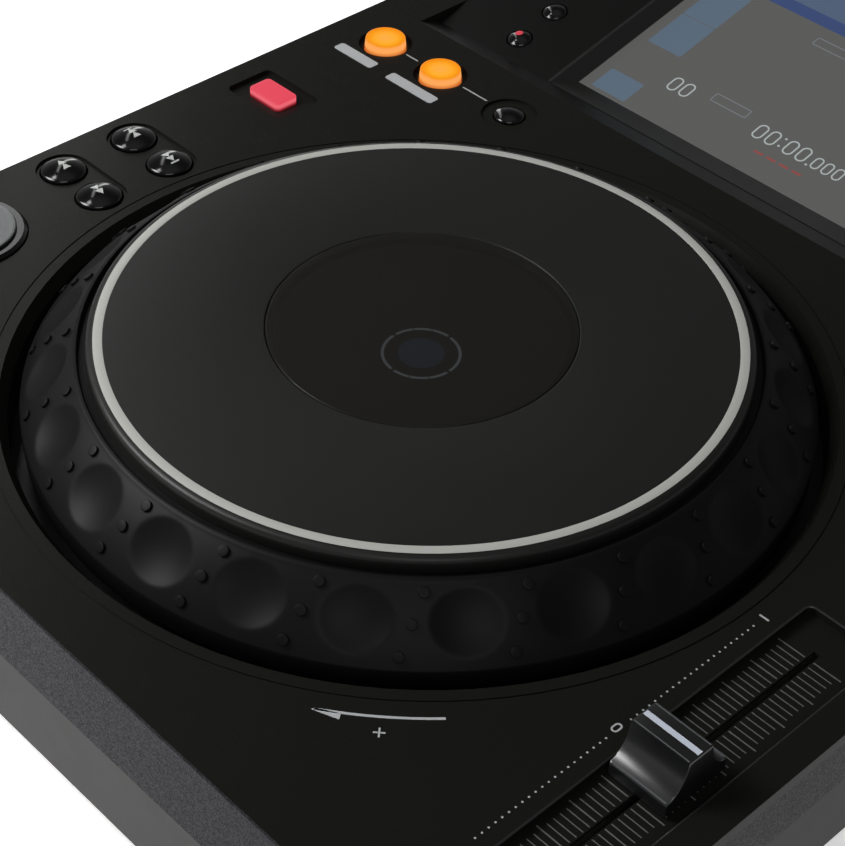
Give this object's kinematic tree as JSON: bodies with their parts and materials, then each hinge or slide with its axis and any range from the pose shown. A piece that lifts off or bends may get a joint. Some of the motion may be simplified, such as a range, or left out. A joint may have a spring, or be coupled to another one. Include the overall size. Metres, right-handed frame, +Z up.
{
  "type": "tabletop dj media player",
  "caption": "Tabletop player for mixing music: dimpled jog wheel, tempo fader, lit keys and a slanted touch-screen panel on a tapered case with rubber feet.",
  "frame": {"origin": "centre of the footprint, on the surface that the feet stand on", "axes": "+X to the right of a person who plays it, +Y away from that person, +Z up"},
  "size_m": [0.306, 0.388, 0.1064],
  "materials": {
    "deck_black": "satin",
    "band_grey": "speckled",
    "case_grey": "satin",
    "gloss_black": "gloss",
    "dial_grey": "satin",
    "plate_grey": "dark anodised",
    "window_clear": "clear",
    "screen_glass": "clear",
    "key_black": "gloss",
    "key_orange": "lit",
    "key_red": "lit",
    "cap_silver": "brushed",
    "rubber_black": "matte",
    "steel": "bright",
    "bronze": "sintered",
    "board_green": "solder mask",
    "inner_black": "moulded",
    "lcd_grey": "lit panel",
    "jack_gold": "gold plated"
  },
  "bodies": {
    "case": {"jog_base": "inner_black", "jog_display": "inner_black", "jog_sensor": "inner_black", "tempo_fader_rail": "steel", "deck_panel": "deck_black", "control_panel": "deck_black", "upper_case": "band_grey", "lower_case": "case_grey", "screen_bezel": "gloss_black", "touch_glass": "screen_glass", "lcd_module": "lcd_grey", "left_switch_board": "board_green", "loop_switch_board": "board_green", "right_switch_board": "board_green", "panel_switch_board": "board_green", "main_board": "board_green", "power_board": "board_green", "usb_port": "steel", "jack_plate": "steel", "audio_jacks": "jack_gold", "data_jacks": "jack_gold", "power_inlet": "inner_black", "feet": "rubber_black", "case_screws": "steel"},
    "jog": {"jog_dial": "dial_grey", "jog_plate": "plate_grey", "jog_window": "window_clear", "jog_hub": "inner_black", "jog_bearing": "bronze", "encoder_disc": "steel"},
    "tempo_fader": {"tempo_fader_cap": "gloss_black", "tempo_fader_carriage": "inner_black"},
    "brake": {"brake_knob": "rubber_black"},
    "selector_plunger": {"selector_shaft": "steel"},
    "selector": {"selector_knob": "rubber_black"},
    "power": {"power_rocker": "gloss_black"},
    "cue": {"cue_button": "key_black", "cue_cap": "cap_silver"},
    "play": {"play_button": "key_black", "play_cap": "cap_silver"},
    "track_back": {"track_back_button": "key_black"},
    "track_forward": {"track_forward_button": "key_black"},
    "search_back": {"search_back_button": "key_black"},
    "search_forward": {"search_forward_button": "key_black"},
    "direction": {"direction_button": "key_red"},
    "loop_in": {"loop_in_button": "key_orange"},
    "loop_out": {"loop_out_button": "key_orange"},
    "reloop": {"reloop_button": "key_black"},
    "call_back": {"call_back_button": "key_black"},
    "call_forward": {"call_forward_button": "key_black"},
    "memory": {"memory_button": "key_black"},
    "jog_mode": {"jog_mode_button": "key_black"},
    "tempo_range": {"tempo_range_button": "key_black"},
    "master_tempo": {"master_tempo_button": "key_black"},
    "time_mode": {"time_mode_button": "key_black"},
    "quantize": {"quantize_button": "key_black"},
    "back": {"back_button": "key_black"},
    "browse_left": {"browse_left_button": "key_black"},
    "browse_middle": {"browse_middle_button": "key_black"},
    "browse_right": {"browse_right_button": "key_black"}
  },
  "joints": [
    {"name": "jog_turn", "type": "hinge", "parent": "case", "child": "jog", "pos_m": [0, -0.063, 0.071], "axis": [0, 0, 1], "continuous": true},
    {"name": "cue_press", "type": "slide", "parent": "case", "child": "cue", "axis": [0, 0, -1], "range_m": [0, 0.0011], "stiffness_N_per_m": 400, "springref_m": -0.001},
    {"name": "play_press", "type": "slide", "parent": "case", "child": "play", "axis": [0, 0, -1], "range_m": [0, 0.0011], "stiffness_N_per_m": 400, "springref_m": -0.001},
    {"name": "track_back_press", "type": "slide", "parent": "case", "child": "track_back", "axis": [0, 0, -1], "range_m": [0, 0.0011], "stiffness_N_per_m": 400, "springref_m": -0.001},
    {"name": "track_forward_press", "type": "slide", "parent": "case", "child": "track_forward", "axis": [0, 0, -1], "range_m": [0, 0.0011], "stiffness_N_per_m": 400, "springref_m": -0.001},
    {"name": "search_back_press", "type": "slide", "parent": "case", "child": "search_back", "axis": [0, 0, -1], "range_m": [0, 0.0011], "stiffness_N_per_m": 400, "springref_m": -0.001},
    {"name": "search_forward_press", "type": "slide", "parent": "case", "child": "search_forward", "axis": [0, 0, -1], "range_m": [0, 0.0011], "stiffness_N_per_m": 400, "springref_m": -0.001},
    {"name": "direction_press", "type": "slide", "parent": "case", "child": "direction", "axis": [0, 0, -1], "range_m": [0, 0.0011], "stiffness_N_per_m": 400, "springref_m": -0.001},
    {"name": "loop_in_press", "type": "slide", "parent": "case", "child": "loop_in", "axis": [0, 0, -1], "range_m": [0, 0.0011], "stiffness_N_per_m": 400, "springref_m": -0.001},
    {"name": "loop_out_press", "type": "slide", "parent": "case", "child": "loop_out", "axis": [0, 0, -1], "range_m": [0, 0.0011], "stiffness_N_per_m": 400, "springref_m": -0.001},
    {"name": "reloop_press", "type": "slide", "parent": "case", "child": "reloop", "axis": [0, 0, -1], "range_m": [0, 0.0011], "stiffness_N_per_m": 400, "springref_m": -0.001},
    {"name": "call_back_press", "type": "slide", "parent": "case", "child": "call_back", "axis": [0, 0, -1], "range_m": [0, 0.0011], "stiffness_N_per_m": 400, "springref_m": -0.001},
    {"name": "call_forward_press", "type": "slide", "parent": "case", "child": "call_forward", "axis": [0, 0, -1], "range_m": [0, 0.0011], "stiffness_N_per_m": 400, "springref_m": -0.001},
    {"name": "memory_press", "type": "slide", "parent": "case", "child": "memory", "axis": [0, 0, -1], "range_m": [0, 0.0011], "stiffness_N_per_m": 400, "springref_m": -0.001},
    {"name": "jog_mode_press", "type": "slide", "parent": "case", "child": "jog_mode", "axis": [0, 0, -1], "range_m": [0, 0.0011], "stiffness_N_per_m": 400, "springref_m": -0.001},
    {"name": "tempo_range_press", "type": "slide", "parent": "case", "child": "tempo_range", "axis": [0, 0, -1], "range_m": [0, 0.0011], "stiffness_N_per_m": 400, "springref_m": -0.001},
    {"name": "master_tempo_press", "type": "slide", "parent": "case", "child": "master_tempo", "axis": [0, 0, -1], "range_m": [0, 0.0011], "stiffness_N_per_m": 400, "springref_m": -0.001},
    {"name": "time_mode_press", "type": "slide", "parent": "case", "child": "time_mode", "axis": [0, 0.225, -0.9744], "range_m": [0, 0.0011], "stiffness_N_per_m": 400, "springref_m": -0.001},
    {"name": "quantize_press", "type": "slide", "parent": "case", "child": "quantize", "axis": [0, 0.225, -0.9744], "range_m": [0, 0.0011], "stiffness_N_per_m": 400, "springref_m": -0.001},
    {"name": "back_press", "type": "slide", "parent": "case", "child": "back", "axis": [0, 0.225, -0.9744], "range_m": [0, 0.0011], "stiffness_N_per_m": 400, "springref_m": -0.001},
    {"name": "browse_left_press", "type": "slide", "parent": "case", "child": "browse_left", "axis": [0, 0.225, -0.9744], "range_m": [0, 0.0011], "stiffness_N_per_m": 400, "springref_m": -0.001},
    {"name": "browse_middle_press", "type": "slide", "parent": "case", "child": "browse_middle", "axis": [0, 0.225, -0.9744], "range_m": [0, 0.0011], "stiffness_N_per_m": 400, "springref_m": -0.001},
    {"name": "browse_right_press", "type": "slide", "parent": "case", "child": "browse_right", "axis": [0, 0.225, -0.9744], "range_m": [0, 0.0011], "stiffness_N_per_m": 400, "springref_m": -0.001},
    {"name": "tempo_slide", "type": "slide", "parent": "case", "child": "tempo_fader", "axis": [0, 1, 0], "range_m": [-0.05, 0.05]},
    {"name": "brake_turn", "type": "hinge", "parent": "case", "child": "brake", "pos_m": [0.1324, 0.0465, 0.071], "axis": [0, 0, 1], "range_deg": [-140, 140]},
    {"name": "selector_press", "type": "slide", "parent": "case", "child": "selector_plunger", "axis": [0, 0.225, -0.9744], "range_m": [0, 0.001], "stiffness_N_per_m": 600, "springref_m": -0.001},
    {"name": "selector_turn", "type": "hinge", "parent": "selector_plunger", "child": "selector", "pos_m": [0.108, 0.15509, 0.08674], "axis": [0, -0.225, 0.9744], "continuous": true},
    {"name": "power_rock", "type": "hinge", "parent": "case", "child": "power", "pos_m": [0.058, 0.1789, 0.031], "axis": [1, 0, 0], "range_deg": [-16, 0]}
  ]
}
